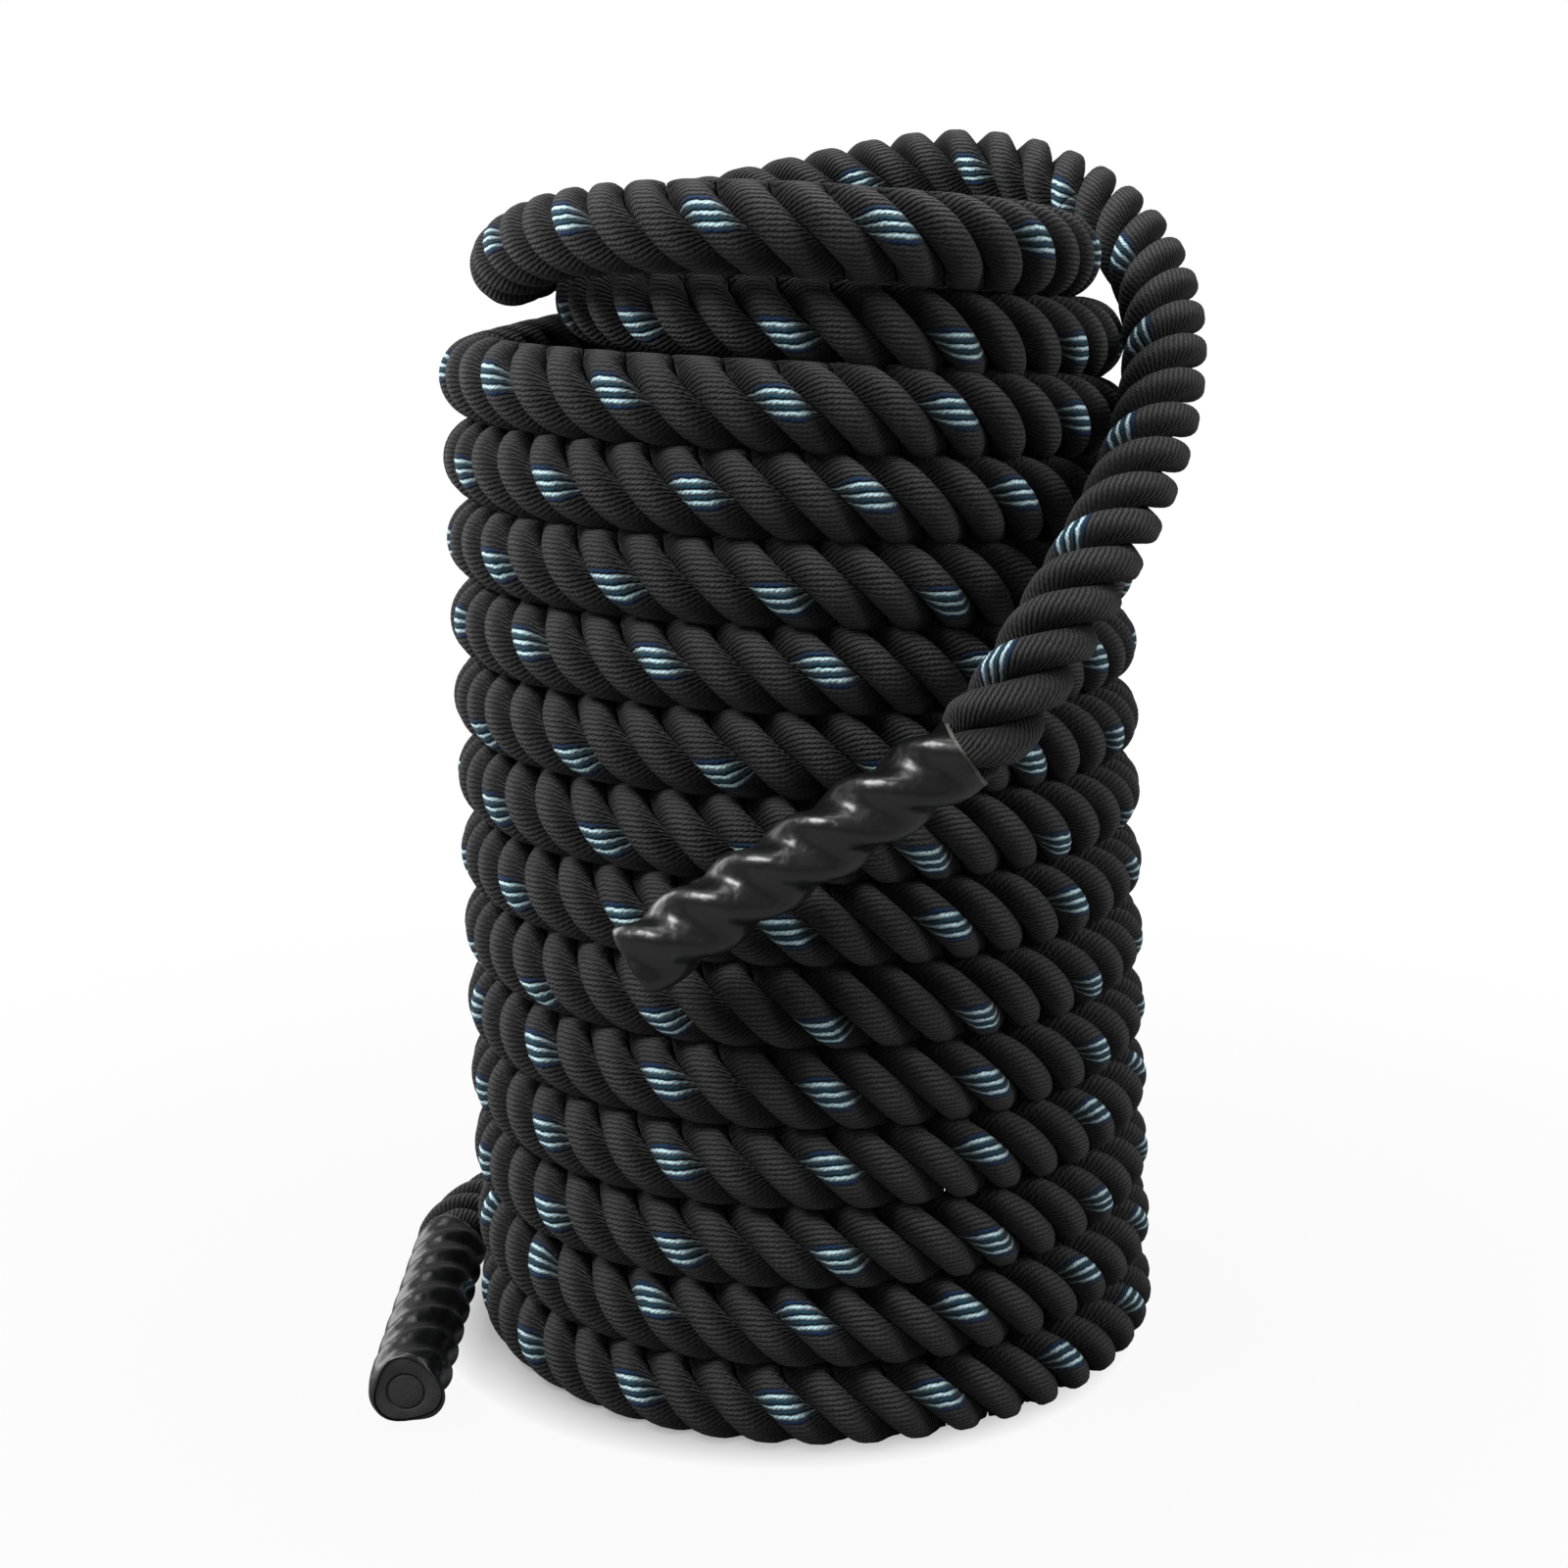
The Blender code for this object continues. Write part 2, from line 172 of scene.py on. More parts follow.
class RopeSettings(bpy.types.PropertyGroup):
    lay: FloatProperty(
        name="Lay",
        description="Length of rope in which a strand goes once round",
        default=0.0693247,
        precision=5,
        unit="LENGTH",
    )
    lay_start: FloatProperty(
        name="Lay start",
        description="Angle of the marked strand about the rope at its upper end",
        default=2.5125,
        unit="ROTATION",
    )
    yarn_lay: FloatProperty(
        name="Yarn lay",
        description="Length of rope in which a strand's yarns go once round, the other way",
        default=0.0688809,
        precision=5,
        unit="LENGTH",
    )
    yarn_start: FloatProperty(
        name="Yarn start",
        description="Angle of the yarns in their strand at the rope's upper end",
        default=3.353,
        unit="ROTATION",
    )
    lay_sway: FloatProperty(
        name="Lay sway",
        description="How far the strands run ahead of an even lay and behind it",
        default=0.404,
        unit="ROTATION",
    )
    yarn_sway: FloatProperty(
        name="Yarn sway",
        description="How far the yarns run ahead of an even turn and behind it",
        default=0.615,
        unit="ROTATION",
    )
    strand_centre: FloatProperty(
        name="Strand centre",
        description="Distance from the rope's axis to the middle of a strand",
        default=0.0101,
        unit="LENGTH",
    )
    radius: FloatProperty(
        name="Radius",
        description="From the rope's axis to the crown of a strand",
        default=0.0198,
        unit="LENGTH",
    )
    strand_width: FloatProperty(
        name="Strand width",
        description="Half the width of a strand, measured round the rope",
        default=0.0108,
        unit="LENGTH",
    )
    yarns: IntProperty(
        name="Yarns",
        description="Number of yarns round the outside of a strand",
        default=26,
    )
    ring_step: FloatProperty(
        name="Ring step",
        description="Distance along the rope between two rings of a strand's mesh",
        default=0.003,
        unit="LENGTH",
    )
    charcoal: FloatVectorProperty(
        name="Charcoal yarn",
        description="Colour of the plain yarns",
        default=(0.042, 0.042, 0.042),
        subtype="COLOR",
        size=3,
    )
    pale: FloatVectorProperty(
        name="Pale tracer yarn",
        description="Colour of the light yarns in the marked strand",
        default=(0.54, 0.76, 0.82),
        subtype="COLOR",
        size=3,
    )
    teal: FloatVectorProperty(
        name="Teal tracer yarn",
        description="Colour of the dark yarns between the light ones",
        default=(0.010, 0.050, 0.085),
        subtype="COLOR",
        size=3,
    )
    navy: FloatVectorProperty(
        name="Navy tracer yarn",
        description="Colour of the yarns beside each tracer group",
        default=(0.006, 0.026, 0.075),
        subtype="COLOR",
        size=3,
    )


class GripSettings(bpy.types.PropertyGroup):
    upper_radius: FloatProperty(
        name="Upper sleeve radius",
        description="From the upper grip's axis to the top of a rib of its sleeve",
        default=0.0182,
        unit="LENGTH",
    )
    lower_radius: FloatProperty(
        name="Lower sleeve radius",
        description="From the lower grip's axis to the top of a rib of its sleeve",
        default=0.0191,
        unit="LENGTH",
    )
    upper_depth: FloatProperty(
        name="Upper rib depth",
        description="Depth of the valleys between the upper sleeve's ribs",
        default=0.0040,
        unit="LENGTH",
    )
    lower_depth: FloatProperty(
        name="Lower rib depth",
        description="Depth of the valleys between the lower sleeve's ribs",
        default=0.0030,
        unit="LENGTH",
    )
    wall: FloatProperty(
        name="Sleeve wall",
        description="Thickness of the shrink film",
        default=0.0009,
        unit="LENGTH",
    )
    upper_lay: FloatProperty(
        name="Upper grip's lay",
        description="Length in which a strand goes once round inside the upper grip",
        default=0.0908,
        unit="LENGTH",
    )
    lower_lay: FloatProperty(
        name="Lower grip's lay",
        description="Length in which a strand goes once round inside the lower grip",
        default=0.0733,
        unit="LENGTH",
    )
    film: FloatVectorProperty(
        name="Shrink film",
        description="Colour of the sleeve",
        default=(0.005, 0.005, 0.005),
        subtype="COLOR",
        size=3,
    )


class StageSettings(bpy.types.PropertyGroup):
    key_power: FloatProperty(
        name="Key light",
        description="Power of the large soft light above and to the left",
        default=46.0,
        unit="POWER",
    )
    fill_power: FloatProperty(
        name="Fill light",
        description="Power of the soft light at the right",
        default=15.0,
        unit="POWER",
    )
    top_power: FloatProperty(
        name="Top light",
        description="Power of the soft light overhead",
        default=16.0,
        unit="POWER",
    )
    rim_power: FloatProperty(
        name="Rim light",
        description="Power of the upright light at the left",
        default=13.0,
        unit="POWER",
    )
    room_level: FloatProperty(
        name="Room level",
        description="Brightness of the room on the object",
        default=0.20,
    )


# The route


def turn_drop(turn, angle):
    """How far a turn has fallen at an angle from -180 to 180 degrees, as a share of the pitch."""
    if turn == TURNS - 1:
        return 0.0
    front = FRONT_DROP * max(0.0, 1 - turn / (TURNS - 2)) ** FRONT_DROP_FADE
    if angle <= 0:
        return front * ((angle + 180) / 180) ** 2
    u = angle / 180
    first_slope = 2 * front / (1 - front)
    rise = (u**3 - 2 * u**2 + u) * first_slope + 3 * u**2 - 2 * u**3
    return front + (1 - front) * rise


def coil_point(turn, angle):
    """The middle of the rope in a turn, counted from the top. -90 degrees is the front."""
    level = TURNS - 1 - turn - turn_drop(turn, angle)
    radius = COIL_RADIUS_LOW + (COIL_RADIUS_HIGH - COIL_RADIUS_LOW) * level / (TURNS - 1)
    if turn == TURNS - 1 and angle > 0:
        apart = 2 * ROPE_RADIUS + GAP
        above = TURN_PITCH * (1 - turn_drop(turn - 1, angle))
        radius += math.sqrt(max(0.0, apart**2 - above**2))
    height = TURN_PITCH * level
    middle = COIL_FOOT_X + COIL_LEAN * height
    a = math.radians(angle)
    return (middle + radius * math.cos(a), radius * math.sin(a), ROPE_RADIUS + height)


def coil_points():
    step = 360 / STEPS_PER_TURN
    count = int((360 * (TURNS - 1) + 180 + LAST_ANGLE) / step) + 1
    found = []
    for i in range(count):
        turn = min(i // STEPS_PER_TURN, TURNS - 1)
        found.append(coil_point(turn, i * step - 360 * turn - 180))
    return found


def spline_bends(knots, points):
    """Second derivatives of the natural cubic spline through the points."""
    n = len(knots)
    h = np.diff(knots)
    system = np.eye(n)
    right = np.zeros((n, 3))
    slopes = np.diff(points, axis=0) / h[:, None]
    for i in range(1, n - 1):
        system[i, i - 1 : i + 2] = h[i - 1], 2 * (h[i - 1] + h[i]), h[i]
        right[i] = 6 * (slopes[i] - slopes[i - 1])
    return np.linalg.solve(system, right)


def smooth_line(route):
    """Points close together along the smooth curve through the route, and how far along each is."""
    points = np.array(route)
    knots = np.concatenate([[0], np.cumsum(np.linalg.norm(np.diff(points, axis=0), axis=1))])
    bends = spline_bends(knots, points)
    at = np.linspace(0, knots[-1], int(knots[-1] / LINE_STEP))
    i = np.clip(np.searchsorted(knots, at, side="right") - 1, 0, len(knots) - 2)
    h = (knots[i + 1] - knots[i])[:, None]
    a = (knots[i + 1] - at)[:, None] / h
    b = 1 - a
    curved = ((a**3 - a) * bends[i] + (b**3 - b) * bends[i + 1]) * h**2 / 6
    line = a * points[i] + b * points[i + 1] + curved
    along = np.concatenate([[0], np.cumsum(np.linalg.norm(np.diff(line, axis=0), axis=1))])
    return line, along


class Route:
    """The rope's axis, with a pair of side directions that never twists about it."""

    def __init__(self, rope, grips):
        loose = UPPER_TAIL + RAISED_LOOP + FIRST_LOOSE_TURN + SECOND_LOOSE_TURN
        line, self.along = smooth_line(loose + coil_points() + LOWER_TAIL)
        self.line = line + ROPE_AXIS
        self.length = self.along[-1]
        ahead = np.gradient(self.line, self.along, axis=0)
        self.ahead = ahead / np.linalg.norm(ahead, axis=1)[:, None]
        self.side = self.untwisted_sides()
        # The film holds the strands at each grip's own lay, which fades out past its mouth.
        lay = np.full(len(self.line), rope.lay)
        lay += (grips.upper_lay - rope.lay) * self.near(0, 0.160, 0.230)
        lay += (grips.lower_lay - rope.lay) * self.near(self.length, 0.160, 0.200)
        per_step = np.diff(self.along) / lay[1:]
        self.laid = rope.lay_start + np.concatenate([[0], np.cumsum(per_step)]) * 2 * math.pi
        wave = np.sin(2 * math.pi * self.along / LAY_SWAY_LENGTH + LAY_SWAY_START)
        self.laid += rope.lay_sway * wave

    def near(self, end, inside, outside):
        """1 within a distance from an end, and 0 past a longer one."""
        away = np.abs(self.along - end)
        return soft_step((outside - away) / (outside - inside), 0, 1)

    def untwisted_sides(self):
        sides = np.empty_like(self.line)
        side = np.cross(self.ahead[0], (0.0, 0.0, 1.0))
        sides[0] = side / np.linalg.norm(side)
        for i in range(1, len(self.line)):
            step = self.line[i] - self.line[i - 1]
            square = step @ step
            side = sides[i - 1] - step * (2 * (step @ sides[i - 1]) / square)
            old_ahead = self.ahead[i - 1] - step * (2 * (step @ self.ahead[i - 1]) / square)
            turn = self.ahead[i] - old_ahead
            size = turn @ turn
            if size > 1e-18:
                side = side - turn * (2 * (turn @ side) / size)
            side = side - self.ahead[i] * (side @ self.ahead[i])
            sides[i] = side / np.linalg.norm(side)
        return sides

    def at(self, s, values):
        if values.ndim == 1:
            return np.interp(s, self.along, values)
        return np.stack([np.interp(s, self.along, values[:, k]) for k in range(3)], axis=1)

    def frame(self, s):
        """Points, two unit side directions and the strands' angle at lengths along the rope."""
        ahead = self.at(s, self.ahead)
        ahead /= np.linalg.norm(ahead, axis=1)[:, None]
        side = self.at(s, self.side)
        side -= ahead * (side * ahead).sum(1)[:, None]
        side /= np.linalg.norm(side, axis=1)[:, None]
        return self.at(s, self.line), side, np.cross(ahead, side), self.at(s, self.laid)


# Meshes


def skin(name, rings, along, crown):
    """A mesh through rings of points, shape (rings, sides, 3), with its ends closed by fans.

    It carries the yarns' UV map, and how far out on the rope each point lies, which the yarn
    material turns into painted shade towards the grooves between strands.
    """
    count, sides = rings.shape[:2]
    points = rings.reshape(-1, 3)
    i = np.arange(count - 1)[:, None] * sides
    k = np.arange(sides)[None, :]
    after = (k + 1) % sides
    faces = np.stack([i + k, i + after, i + sides + after, i + sides + k], axis=-1)
    faces = faces.reshape(-1, 4).tolist()
    middles = len(points)
    points = np.concatenate([points, rings[:1].mean(1), rings[-1:].mean(1)])
    last = (count - 1) * sides
    for j in range(sides):
        faces.append([middles, (j + 1) % sides, j])
        faces.append([middles + 1, last + j, last + (j + 1) % sides])
    mesh = bpy.data.meshes.new(name)
    mesh.from_pydata(points.tolist(), [], faces)
    place_uv(mesh, count, sides, along)
    outward = mesh.attributes.new("crown", "FLOAT", "POINT")
    outward.data.foreach_set("value", np.append(crown.reshape(-1), (0.0, 0.0)).astype(np.float32))
    mesh.shade_smooth()
    mesh.update()
    obj = bpy.data.objects.new(name, mesh)
    bpy.context.scene.collection.objects.link(obj)
    return obj


def place_uv(mesh, count, sides, along):
    """U goes once round each ring, and V is the length along the rope in metres."""
    layer = mesh.uv_layers.new(name="yarns")
    loops = np.zeros(len(mesh.loops), np.int64)
    mesh.loops.foreach_get("vertex_index", loops)
    u = (loops % sides) / sides
    v = along[np.minimum(loops // sides, count - 1)]
    quads = (count - 1) * sides
    corner_u = u[: quads * 4].reshape(-1, 4)
    last = np.arange(quads) % sides == sides - 1
    corner_u[last, 1:3] = 1.0
    flat = np.stack([u, v], axis=1)
    flat[: quads * 4, 0] = corner_u.reshape(-1)
    layer.data.foreach_set("uv", flat.astype(np.float32).reshape(-1))


def strand_outline(psi, rope):
    """A strand's radius about its own middle, at an angle from the outward direction.

    It is a little wider round the rope than across it, and flat where it presses on the
    two strands beside it.
    """
    out = rope.radius - rope.strand_centre
    c, s = np.abs(np.cos(psi)), np.abs(np.sin(psi))
    power = 2.45
    free = ((c / out) ** power + (s / rope.strand_width) ** power) ** (-1 / power)
    lean = np.cos(np.abs(psi) - math.radians(150))
    flat = rope.strand_centre * math.sin(math.radians(60)) - 0.0001
    beside = flat / np.maximum(lean, 0.05)
    return (free**-10.0 + beside**-10.0) ** -0.1


def press(x, y, middle, side, up, radius, s):
    """Swells the strands' grooves where the turns press together, on the coil's inner side."""
    size = np.hypot(x, y)
    ahead = (x[..., None] * side[:, None] + y[..., None] * up[:, None]) / size[..., None]
    from_axis = middle[:, :2] - ROPE_AXIS[:2]
    from_axis[:, 0] -= COIL_FOOT_X + COIL_LEAN * middle[:, 2]
    from_axis /= np.linalg.norm(from_axis, axis=1)[:, None]
    outward = (ahead[..., :2] * from_axis[:, None]).sum(-1)
    share = soft_step(np.abs(ahead[..., 2]), 0.50, 0.85) * soft_step(-outward, -0.32, 0.02)
    share *= soft_step(s, PRESSED_FROM, PRESSED_FROM + 0.15)[:, None]
    swell = 1 + PRESS_SHARE * share * np.clip(radius + PRESS_OVER - size, 0, None) / size
    return x * swell, y * swell


def soft_step(value, low, high):
    share = np.clip((value - low) / (high - low), 0, 1)
    return share * share * (3 - 2 * share)


def strand(name, route, rope, index, start, end, step, sides, squeeze=None, pressed=False):
    """One strand between two lengths along the rope. Its mesh runs along its own yarns."""
    s = np.linspace(start, end, max(2, int(round((end - start) / step)) + 1))
    middle, side, up, laid = route.frame(s)
    turned = laid + 2 * math.pi * index / 3
    k = rope.yarn_start + np.arange(sides) * 2 * math.pi / sides
    sway = rope.yarn_sway * np.sin(2 * math.pi * s / YARN_SWAY_LENGTH + YARN_SWAY_START)
    yarn = k[None, :] - (2 * math.pi * s / rope.yarn_lay + sway)[:, None]
    psi = (yarn - turned[:, None] + math.pi) % (2 * math.pi) - math.pi
    radius = strand_outline(psi, rope)
    x = rope.strand_centre * np.cos(turned)[:, None] + radius * np.cos(yarn)
    y = rope.strand_centre * np.sin(turned)[:, None] + radius * np.sin(yarn)
    if squeeze is not None:
        x = x * squeeze(s)[:, None]
        y = y * squeeze(s)[:, None]
    if pressed:
        x, y = press(x, y, middle, side, up, rope.radius, s)
    rings = middle[:, None] + x[..., None] * side[:, None] + y[..., None] * up[:, None]
    rings[..., 2] = np.maximum(rings[..., 2], 0)
    # The crown share, from a strand's outward direction, drives the painted shade towards the
    # grooves between strands.
    return skin(name, rings, s, np.clip(np.cos(psi), 0, 1))


def path_of(route, start, end, step=0.01):
    s = np.linspace(start, end, int((end - start) / step) + 2)
    return route.at(s, route.line).tolist()


# Materials


class Value:
    """A shader socket that takes Python's arithmetic."""

    def __init__(self, tree, socket):
        self.tree = tree
        self.socket = socket

    def math(self, operation, *others, clamp=False):
        inputs = dict(enumerate((self, *others)))
        settings = {"operation": operation, "use_clamp": clamp}
        return node(self.tree, "ShaderNodeMath", settings, inputs)(0)

    def __add__(self, other):
        return self.math("ADD", other)

    def __mul__(self, other):
        return self.math("MULTIPLY", other)

    def __sub__(self, other):
        return self.math("SUBTRACT", other)

    def __pow__(self, other):
        return self.math("POWER", other)

    def wrap(self):
        return self.math("FRACT")

    def waves(self, turns):
        """A cosine that goes from 0 to 1 and back, once for each 1 / turns."""
        return (self * (2 * math.pi * turns)).math("COSINE") * 0.5 + 0.5

    def clamped(self):
        return self.math("ADD", 0.0, clamp=True)


def node(tree, kind, settings=None, inputs=None):
    """Adds a node, and returns a function that gives its outputs by index or name."""
    made = tree.nodes.new(kind)
    for name, value in (settings or {}).items():
        if name == "stops":
            set_stops(made.color_ramp, value)
        else:
            setattr(made, name, value)
    for name, value in (inputs or {}).items():
        if isinstance(value, Value):
            tree.links.new(value.socket, made.inputs[name])
        else:
            made.inputs[name].default_value = value
    return lambda name=0: Value(tree, made.outputs[name])


def set_stops(ramp, stops):
    while len(ramp.elements) > 1:
        ramp.elements.remove(ramp.elements[-1])
    for i, (place, color) in enumerate(stops):
        element = ramp.elements[0] if i == 0 else ramp.elements.new(place)
        element.position = place
        element.color = (*color, 1.0)


def new_material(name):
    material = bpy.data.materials.new(name)
    material.use_nodes = True
    tree = material.node_tree
    tree.nodes.clear()
    return material, tree


def finish_material(tree, constants, links):
    shader = tree.nodes.new("ShaderNodeBsdfPrincipled")
    for name, value in constants.items():
        shader.inputs[name].default_value = value
    for name, value in links.items():
        tree.links.new(value.socket, shader.inputs[name])
    output = tree.nodes.new("ShaderNodeOutputMaterial")
    tree.links.new(shader.outputs[0], output.inputs["Surface"])


def shaded(tree, color, level):
    """A colour made lighter or darker by a level."""
    settings = {"data_type": "RGBA", "blend_type": "MULTIPLY"}
    inputs = {"Factor": 1.0, 6: color, 7: grey_of(tree, level)}
    return node(tree, "ShaderNodeMix", settings, inputs)(2)


def grey_of(tree, level, blue=1.0):
    last = level if blue == 1.0 else level * blue
    return node(tree, "ShaderNodeCombineColor", None, {0: level, 1: level, 2: last})(0)


def noise(tree, where, scale, detail):
    inputs = {"Vector": where, "Scale": scale, "Detail": detail}
    return node(tree, "ShaderNodeTexNoise", None, inputs)(0)


def bump(tree, height, distance):
    inputs = {"Height": height, "Distance": distance, "Strength": 1.0}
    return node(tree, "ShaderNodeBump", None, inputs)(0)


def tracer_stops(rope):
    """The marked strand's tracer group, yarn by yarn, as a ramp round the strand."""
    group = [rope.navy, rope.pale, rope.teal, rope.pale, rope.teal, rope.pale, rope.navy]
    stops = [(0.0, rope.charcoal)]
    for i, color in enumerate(group + [rope.charcoal]):
        stops.append(((3 + i) / rope.yarns, color))
    return [(place, tuple(color)) for place, color in stops]


def yarn_material(name, rope, traced):
    material, tree = new_material(name)
    place = node(tree, "ShaderNodeUVMap", {"uv_map": "yarns"})
    split = node(tree, "ShaderNodeSeparateXYZ", None, {0: place(0)})
    around, along = split(0), split(1)
    where = node(tree, "ShaderNodeTexCoord")("Object")
    # The ribs wander a little, and each yarn is twisted, so short slanting fibres cross it.
    wander = noise(tree, where, 330.0, 2.0)
    yarn = (around * float(rope.yarns) + wander * 0.5).wrap()
    ridge = (yarn * math.pi).math("SINE")
    fibres = (along * 430.0 + yarn * 0.9 + wander * 0.9).waves(1.0)
    patches = noise(tree, where, 45.0, 3.0)
    fuzz = noise(tree, where, 1300.0, 2.0)
    crown = node(tree, "ShaderNodeAttribute", {"attribute_name": "crown"})("Fac")
    if traced:
        dye_at = around + wander * (0.5 / rope.yarns)
        ramp = node(tree, "ShaderNodeValToRGB", {"stops": tracer_stops(rope)}, {0: dye_at})
        tree.nodes[-1].color_ramp.interpolation = "CONSTANT"
        dyed = ramp(0)
    else:
        dyed = (*rope.charcoal, 1.0)
    rib = ridge**0.8
    # Painted shade: the colour darkens into the grooves between yarns, in the hollows between the
    # slanting fibres, and, by the crown attribute, towards the grooves between strands. The patches
    # and fuzz are random tone.
    shade = (rib * 0.93 + 0.07) * (fibres * 0.36 + 0.64) * (patches * 0.5 + 0.75)
    shade = shade * (fuzz + 0.5) * (crown**1.4 * 0.86 + 0.14) * 1.62
    height = rib + fibres * 0.22 + fuzz * 0.35 + wander * 0.3
    matt = {"Roughness": 0.86, "Specular IOR Level": 0.22}
    finish_material(
        tree,
        matt | {"Sheen Weight": 0.08, "Sheen Roughness": 0.5},
        {"Base Color": shaded(tree, dyed, shade), "Normal": bump(tree, height, 0.0011)},
    )
    return material


# Making


def settings():
    scene = bpy.context.scene
    return scene.rope_settings, scene.grip_settings, scene.stage_settings


def the_route():
    rope, grips, _ = settings()
    return Route(rope, grips)


class ROPE_OT_stage(bpy.types.Operator):
    """Set up the camera, the lights, the room and the floor"""

    bl_idname = "rope.stage"
    bl_label = "Stage"

    def execute(self, context):
        _, _, stage = settings()
        add_camera(context)
        add_lights(context, stage)
        add_room(context, stage)
        add_floor()
        context.scene.view_settings.view_transform = "Standard"
        return {"FINISHED"}


def add_camera(context):
    camera = bpy.data.cameras.new("camera")
    camera.lens = 57.96
    camera.sensor_width = 36.0
    obj = bpy.data.objects.new("camera", camera)
    obj.location = Vector((0.0, -1.25, 0.5625)) + Vector(ROPE_AXIS)
    obj.rotation_euler = (math.radians(90 - 12.685), 0, 0)
    context.scene.collection.objects.link(obj)
    context.scene.camera = obj


def add_area(context, name, place, aim, size, power):
    light = bpy.data.lights.new(name, "AREA")
    light.shape = "RECTANGLE"
    light.size, light.size_y = size
    light.energy = power
    obj = bpy.data.objects.new(name, light)
    obj.location = place
    obj.rotation_euler = (Vector(aim) - Vector(place)).to_track_quat("-Z", "Y").to_euler()
    context.scene.collection.objects.link(obj)


def add_lights(context, stage):
    add_area(context, "key", (-1.30, -0.85, 1.90), (0, 0, 0.3), (0.9, 0.8), stage.key_power)
    add_area(context, "rim", (-1.45, 0.95, 0.75), (-0.1, 0, 0.15), (0.9, 1.2), stage.rim_power)
    add_area(context, "fill", (1.7, -0.35, 1.2), (0, 0, 0.3), (0.8, 1.0), stage.fill_power)
    add_area(context, "top", (0, 0.3, 2.1), (0, 0, 0.5), (1.0, 1.0), stage.top_power)


def add_room(context, stage):
    world = bpy.data.worlds.new("room")
    world.use_nodes = True
    tree = world.node_tree
    tree.nodes.clear()
    path = node(tree, "ShaderNodeLightPath")
    seen = (path("Is Camera Ray") + path("Is Transmission Ray")).clamped()
    level = seen * (1 - stage.room_level) + stage.room_level
    light = node(tree, "ShaderNodeBackground", None, {"Color": (1, 1, 1, 1), "Strength": level})
    output = tree.nodes.new("ShaderNodeOutputWorld")
    tree.links.new(light(0).socket, output.inputs[0])
    context.scene.world = world


def add_floor():
    bpy.ops.object.select_all(action="DESELECT")
    bpy.ops.mesh.primitive_plane_add(size=14, location=(0, 0, -0.0002))
    floor = bpy.context.object
    floor.name = "floor"
    material, tree = new_material("pale_floor")
    path = node(tree, "ShaderNodeLightPath")
    # Inside the coil the floor is in the dark, and far from the rope it fades to white.
    where = node(tree, "ShaderNodeTexCoord")("Object")
    away = node(tree, "ShaderNodeVectorMath", {"operation": "LENGTH"}, {0: where})("Value")
    outside = ((away - 0.135) * 20.0).clamped() * 0.94 + ((away - 0.22) * 1.6).clamped() * 0.06
    seen = (path("Is Camera Ray") + path("Is Transmission Ray")).clamped() * outside
    paper = node(tree, "ShaderNodeBsdfDiffuse", None, {"Color": (0.26, 0.26, 0.26, 1)})
    glow = node(tree, "ShaderNodeEmission", None, {"Color": (1, 1, 1, 1), "Strength": 1.0})
    both = node(tree, "ShaderNodeMixShader", None, {0: seen, 1: paper(0), 2: glow(0)})
    output = tree.nodes.new("ShaderNodeOutputMaterial")
    tree.links.new(both(0).socket, output.inputs["Surface"])
    floor.data.materials.append(material)


def strand_materials():
    rope, _, _ = settings()
    found = []
    for i in range(3):
        name = "marked_strand_yarn" if i == 0 else "plain_strand_yarn"
        found.append(bpy.data.materials.get(name) or yarn_material(name, rope, i == 0))
    return found


def squeeze_at(length_from_end):
    """How much the shrink film narrows the rope, by the distance from the rope's end."""

    def share(s):
        away = length_from_end(s)
        freed = soft_step(away, GRIP_LENGTH - 0.003, GRIP_LENGTH + 0.011)
        return SQUEEZE + (1 - SQUEEZE) * freed

    return share


def lay_strands(stem, start, end, step, sides, squeeze=None, pressed=False):
    rope, _, _ = settings()
    route = the_route()
    made = []
    for i, material in enumerate(strand_materials()):
        name = f"{stem}_strand_{i + 1}"
        piece = strand(name, route, rope, i, start, end, step, sides, squeeze, pressed)
        piece.data.materials.append(material)
        made.append(piece)
    return route, made


def declare(route, start, end):
    path = path_of(route, start, end)


class ROPE_OT_coil(bpy.types.Operator):
    """Lay up the three strands of the coil's regular turns and of the last half-turn"""

    bl_idname = "rope.coil"
    bl_label = "Coil"

    def execute(self, context):
        rope, _, _ = settings()
        start, end = LOOSE_TURNS_TO, the_route().length - LOWER_TAIL_TO
        route, made = lay_strands("coil", start, end, rope.ring_step, COIL_SIDES, pressed=True)
        for piece in made:
            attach(piece, "coil")
            declare(route, start, end)
        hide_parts("rope_coil", "lower_bight")
        return {"FINISHED"}


class ROPE_OT_loose_turns(bpy.types.Operator):
    """Lay up the strands of the two loose turns and the raised loop"""

    bl_idname = "rope.loose_turns"
    bl_label = "Loose turns"

    def execute(self, context):
        start, end = UPPER_TAIL_TO, LOOSE_TURNS_TO
        route, made = lay_strands("loose", start, end, LOOSE_STEP, LOOSE_SIDES, pressed=True)
        for piece in made:
            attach(piece, "coil")
            declare(route, start, end)
        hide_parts("loose_turns")
        return {"FINISHED"}


class ROPE_OT_upper_tail(bpy.types.Operator):
    """Lay up the strands of the hanging tail, which bends at the raised loop's shoulder"""

    bl_idname = "rope.upper_tail"
    bl_label = "Upper tail"

    def execute(self, context):
        start, end = STRANDS_FROM, UPPER_TAIL_TO
        squeeze = squeeze_at(lambda s: s)
        route, made = lay_strands("upper_tail", start, end, LOOSE_STEP, LOOSE_SIDES, squeeze)
        at = UPPER_HINGE_AT
        bend = route.at(np.array([at + UPPER_BEND, at - UPPER_BEND]), route.line)
        for i, piece in enumerate(made, 1):
            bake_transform(piece)
            declare(route, start, end)
            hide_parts(f"upper_strand_end_{i}")
        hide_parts("upper_tail")
        return {"FINISHED"}


